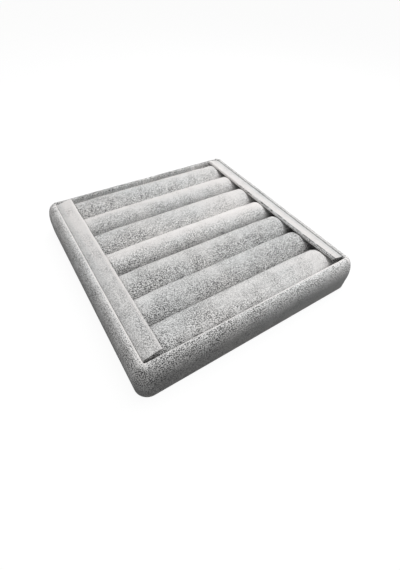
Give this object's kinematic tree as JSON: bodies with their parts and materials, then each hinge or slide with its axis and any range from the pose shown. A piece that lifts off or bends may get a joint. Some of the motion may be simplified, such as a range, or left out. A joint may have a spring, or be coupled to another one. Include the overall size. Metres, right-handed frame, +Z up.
{
  "type": "ring display tray",
  "caption": "Square padded jewellery tray in grey velvet with a lift-out pad of foam rolls that grip finger rings between them, held by two end strips.",
  "frame": {"origin": "middle of the underside, on the surface that the tray stands on", "axes": "+X along the rolls, +Y from the front to the back, +Z up"},
  "size_m": [0.18, 0.183, 0.0298],
  "materials": {
    "velvet": "short brushed pile",
    "foam": "open-cell foam",
    "board": "raw fibreboard",
    "greyboard": "raw greyboard",
    "felt_paper": "flocked paper"
  },
  "bodies": {
    "tray": {"bottom_sheet": "felt_paper", "base_board": "board", "rail_front": "board", "rail_back": "board", "rail_left": "board", "rail_right": "board", "padding_front": "foam", "padding_back": "foam", "padding_left": "foam", "padding_right": "foam", "tray_cover": "velvet", "floor_liner": "velvet"},
    "ring_pad": {"pad_card": "greyboard", "roll_core_1": "foam", "roll_core_2": "foam", "roll_core_3": "foam", "roll_core_4": "foam", "roll_core_5": "foam", "roll_core_6": "foam", "roll_core_7": "foam", "roll_sleeve_1": "velvet", "roll_sleeve_2": "velvet", "roll_sleeve_3": "velvet", "roll_sleeve_4": "velvet", "roll_sleeve_5": "velvet", "roll_sleeve_6": "velvet", "roll_sleeve_7": "velvet", "strip_card_left": "greyboard", "strip_card_right": "greyboard", "strip_wrap_left": "velvet", "strip_wrap_right": "velvet"}
  },
  "joints": [
    {"name": "pad_lift", "type": "slide", "parent": "tray", "child": "ring_pad", "axis": [0, 0, 1], "range_m": [0, 0.03]}
  ]
}
